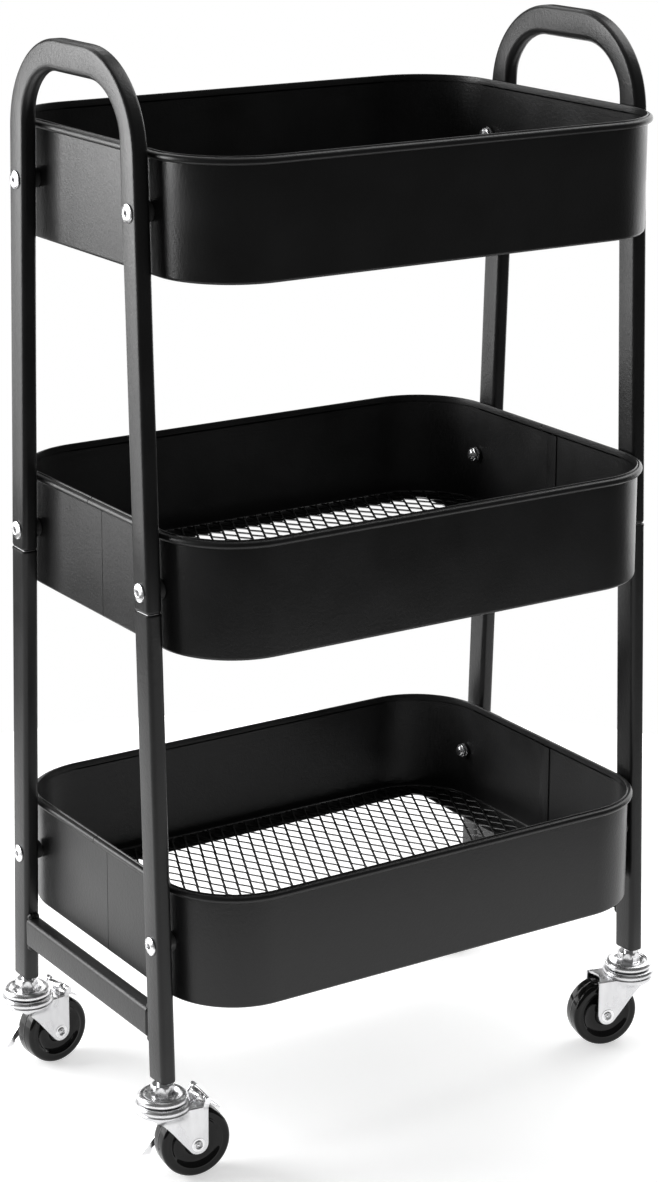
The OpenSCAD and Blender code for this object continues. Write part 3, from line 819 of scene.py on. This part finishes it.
def rivet():
    """Both heads of the axle: a rolled lip round a deep hollow with a small bright centre."""
    shells = []
    ring = [(3.1, 0), (4.9, 0), (4.8, 0.3), (4.2, 0.45), (3.5, 0.35), (3.1, 0.2)]
    head = [(0, 0), (3.1, 0), (3.15, 0.5), (2.95, 0.95), (2.7, 1.05), (2.5, 0.8), (2.4, -1.3)]
    head += [(1.2, -1.4), (1.05, 0.2), (0.7, 0.5), (0, 0.6)]
    for side in (1, -1):
        lift = Matrix.Translation((0, 0, side * CHEEK_V)) @ Matrix.Diagonal((1, 1, side, 1))
        shells += placed([lathe(ring, 48), lathe(head, 48)], lift)
    reach = CHEEK_V - 0.6
    shells.append(lathe([(0, -reach), (2.9, -reach), (2.9, reach), (0, reach)], 32))
    return shells


def wheel_shells():
    """A moulded wheel: crowned tread with a fine parting line, dished sides and a hub."""
    half = WHEEL_W / 2
    tread = arc(WHEEL_R - 3.0, half - 3.0, 3.0, 78, 8, 8)
    side = [(5.0, half + 0.8), (7.2, half + 0.8), (7.9, half + 0.4), (8.3, half - 1.2), (9.6, half - 2.3)]
    side += [(12.5, half - 2.7), (15.6, half - 2.2), (17.2, half - 1.2), (17.9, half - 0.35)]
    side += [(18.4, half - 0.05), (19.0, half - 0.2), (19.5, half - 0.45), (20.6, half - 0.35)]
    side += [(21.8, half - 0.1)]
    upper = side + tread + [(WHEEL_R - 0.05, 1.2), (WHEEL_R - 0.02, 0.35), (WHEEL_R + 0.12, 0.1)]
    return [lathe(upper + [(r, -z) for r, z in reversed(upper)], 96)]


def brake_lever(pivot):
    """The pressed lever: a toe loop over a barrel, a shoe over the tread and a release arm."""
    strip = 1.3
    loop_u = pivot.x - 2.4
    loop_z = pivot.y - 0.4
    loop_r = 3.5
    outer = arc(loop_u, loop_z, loop_r, 0, 180, 18) + [(loop_u - loop_r, pivot.y - 2.6)]
    outer += [(loop_u - loop_r + strip, pivot.y - 2.6)]
    outer += arc(loop_u, loop_z, loop_r - strip, 180, 0, 16)
    outer += [(loop_u + loop_r - strip, pivot.y - 2.0), (loop_u + loop_r, pivot.y - 2.0)]
    barrel = arc(pivot.x, pivot.y, 2.3, 0, 345, 23)
    tail = arc(TRAIL, AXLE_Z, SHOE_R, 72, 52, 6)
    shoe = [(pivot.x + 0.2, pivot.y + 0.6), (pivot.x + 2.4, pivot.y + 0.4)]
    shoe += arc(TRAIL, AXLE_Z, SHOE_R + 1.3, 66, 52, 5) + list(reversed(tail[2:]))
    shells = []
    for outline, width in ((outer, TOE_W), (barrel, LEVER_W), (shoe, SHOE_W)):
        shells += placed([plate([outline], width, 0.3)], upright(0))
    arm = [(pivot.x + 2.0, pivot.y + 1.2), (pivot.x - 2.0, pivot.y + 1.4)]
    arm += [(0.5, 26.5), (-4.5, 21.0), (-11.0, 13.4), (-10.6, 12.0), (-4.5, 12.2), (-3.4, 16.4)]
    arm += [(3.5, 21.5), (pivot.x - 2.0, pivot.y - 1.4), (pivot.x + 1.8, pivot.y - 2.0)]
    shells += placed([plate([arm], ARM_T, 0.3)], upright(CHEEK_V + ARM_GAP + ARM_T / 2))
    tie = [(pivot.x - 1.6, pivot.y - 0.9), (pivot.x + 1.4, pivot.y - 0.9), (pivot.x + 1.4, pivot.y + 1.3)]
    tie += [(pivot.x - 1.6, pivot.y + 1.3)]
    reach = CHEEK_V + ARM_GAP + ARM_T
    middle = (LEVER_W / 2 - 1 + reach) / 2
    shells += placed([plate([tie], reach - LEVER_W / 2 + 1, 0.3)], upright(middle))
    return shells


def build_casters():
    caps = [shell for c in CORNERS for shell in placed([stem_cap()], caster_place(c))]
    mesh_piece("dished_stem_caps", caps, "screw_steel", replaces=["caster_caps"])
    nuts = [shell for c in CORNERS for shell in placed([stem_nut()], caster_place(c))]
    mesh_piece("chamfered_stem_nuts", nuts, "screw_steel", replaces=["caster_stem_nuts"])
    for corner in CORNERS:
        braked = corner in BRAKED
        place = caster_place(corner)
        body = corner + "_swivel"
        shells = [crown(), skirt()] + tongue(braked)
        if braked:
            spot = place.inverted() @ (Vector(JOINTS[corner + "_brake_press"]["pos_m"]) / MM)
            pivot = Vector((spot.x, spot.z))
            shells += brake_ears(pivot)
            lever = placed(brake_lever(pivot), place)
            node = corner + "_brake_lever"
            mesh_piece(node + "_pressing", lever, "chrome_plate", corner + "_brake", replaces=[node])
        fork = placed(shells, place)
        mesh_piece(corner + "_pressed_fork", fork, "zinc_plate", body, replaces=[corner + "_fork"])
        axle = placed(rivet(), on_axle(corner))
        mesh_piece(corner + "_riveted_axle", axle, "chrome_plate", body, replaces=[corner + "_axle"])
        wheel = placed(wheel_shells(), on_axle(corner))
        node = corner + "_wheel"
        mesh_piece(node + "_moulding", wheel, "wheel_plastic", node, replaces=[node])


# ---- finishes of the CAD nodes that stay as they are ----


def finish_cad_nodes():
    kinds = {
        "zinc_plate": ["leg_joint_ferrules"] + [c + "_axle_bush" for c in CORNERS],
        "chrome_plate": ["caster_stems", "swivel_bearing_balls"] + [c + "_brake_pin" for c in BRAKED],
        "black_nylon": ["leg_end_plugs", "caster_dust_rings"],
    }
    for finish, nodes in kinds.items():
        for node in nodes:
            slots = frame["nodes"][node].data.materials
            slots.clear()
            slots.append(FINISHES[finish])


# ---- studio ----

CAMERA_AT = (-1.0982, -1.6842, 0.9860)
CAMERA_AZIMUTH = math.radians(-33.03)
CAMERA_ELEVATION = math.radians(14.14)
CAMERA_ROLL = math.radians(0.21)
CAMERA_LENS = 89.64
CAMERA_SHIFT = -0.14
FLOOR_R = 0.75          # metres
PAPER_GLOW = 0.54       # the paper's own glow, which keeps it white under the cart
ROOM_GLOW = 0.12        # radiance of the dim room round the set


def build_camera():
    """The camera stands in front and to the left of the cart, a little above its handles."""
    data = bpy.data.cameras.new("camera")
    data.sensor_width = 36
    data.lens = CAMERA_LENS
    data.shift_y = CAMERA_SHIFT
    camera = bpy.data.objects.new("camera", data)
    bpy.context.scene.collection.objects.link(camera)
    bpy.context.scene.camera = camera
    flat = math.cos(CAMERA_ELEVATION)
    bearing = Vector((math.sin(CAMERA_AZIMUTH), -math.cos(CAMERA_AZIMUTH), 0))
    back = bearing * flat + Vector((0, 0, math.sin(CAMERA_ELEVATION)))
    level_right = Vector((math.cos(CAMERA_AZIMUTH), math.sin(CAMERA_AZIMUTH), 0))
    level_up = back.cross(level_right)
    right = level_right * math.cos(CAMERA_ROLL) + level_up * math.sin(CAMERA_ROLL)
    up = level_up * math.cos(CAMERA_ROLL) - level_right * math.sin(CAMERA_ROLL)
    turn = Matrix((right, up, back)).transposed().to_4x4()
    camera.matrix_world = Matrix.Translation(CAMERA_AT) @ turn


def softbox(name, at, aim, width, height, radiance):
    """A soft panel of light at a point, facing another, in metres."""
    data = bpy.data.lights.new(name, "AREA")
    data.shape = "RECTANGLE"
    data.size = width
    data.size_y = height
    data.energy = radiance * math.pi * width * height
    lamp = bpy.data.objects.new(name, data)
    bpy.context.scene.collection.objects.link(lamp)
    lamp.location = at
    lamp.rotation_euler = (Vector(aim) - Vector(at)).to_track_quat("-Z", "Y").to_euler()
    lamp.visible_camera = False


def build_floor():
    """A round sheet of pale paper with a glow of its own."""
    bm = bmesh.new()
    bmesh.ops.create_circle(bm, cap_ends=True, segments=128, radius=FLOOR_R)
    mesh = bpy.data.meshes.new("studio_floor")
    bm.to_mesh(mesh)
    bm.free()
    disc = bpy.data.objects.new("studio_floor", mesh)
    bpy.context.scene.collection.objects.link(disc)
    paper = surface("paper", grey(0.80), grey(0.84), (0.8, 0.9), 3, [(300, 0.00002)], specular=0.1)
    shader = paper.node_tree.nodes["Principled BSDF"]
    shader.inputs["Emission Color"].default_value = (1, 1, 1, 1)
    shader.inputs["Emission Strength"].default_value = PAPER_GLOW
    mesh.materials.append(paper)


def build_world():
    """White behind the cart for the camera, and a dim grey room for its light."""
    world = bpy.data.worlds.new("studio")
    world.use_nodes = True
    bpy.context.scene.world = world
    tree = world.node_tree
    room = tree.nodes["Background"]
    room.inputs["Color"].default_value = (1, 1, 1, 1)
    room.inputs["Strength"].default_value = ROOM_GLOW
    white = add_node(tree, "ShaderNodeBackground", Color=(1, 1, 1, 1), Strength=1.0)
    path = add_node(tree, "ShaderNodeLightPath")
    mix = add_node(tree, "ShaderNodeMixShader")
    tree.links.new(path.outputs["Is Camera Ray"], mix.inputs[0])
    tree.links.new(room.outputs[0], mix.inputs[1])
    tree.links.new(white.outputs[0], mix.inputs[2])
    tree.links.new(mix.outputs[0], tree.nodes["World Output"].inputs["Surface"])


def build_studio():
    bpy.context.scene.view_settings.view_transform = "Standard"
    build_camera()
    build_floor()
    build_world()
    softbox("left_panel", (-1.24, 0.885, 0.56), (-0.30, -0.095, 0.56), 1.1, 1.2, 3.0)
    softbox("left_upper_panel", (-1.26, 0.905, 0.87), (-0.30, -0.095, 0.60), 1.1, 1.0, 6.2)
    softbox("right_panel", (1.25, 0.35, 0.55), (0.2, -0.1, 0.45), 1.1, 1.2, 1.9)
    softbox("right_top_panel", (1.35, 0.10, 2.0), (0.10, -0.10, 0.40), 1.2, 1.4, 3.0)
    softbox("back_strip", (0.0, 1.35, 1.75), (0.0, 0.0, 0.6), 1.8, 0.45, 2.4)
    softbox("low_back_strip", (0.3, 1.1, 0.26), (0.0, 0.0, 0.06), 2.0, 0.30, 2.0)
    softbox("overhead", (0.0, 0.0, 2.3), (0.0, 0.0, 0.0), 1.2, 1.2, 1.0)


build_studio()
build_frames()
build_trays()
build_mesh_floors()
build_fasteners()
build_casters()
finish_cad_nodes()
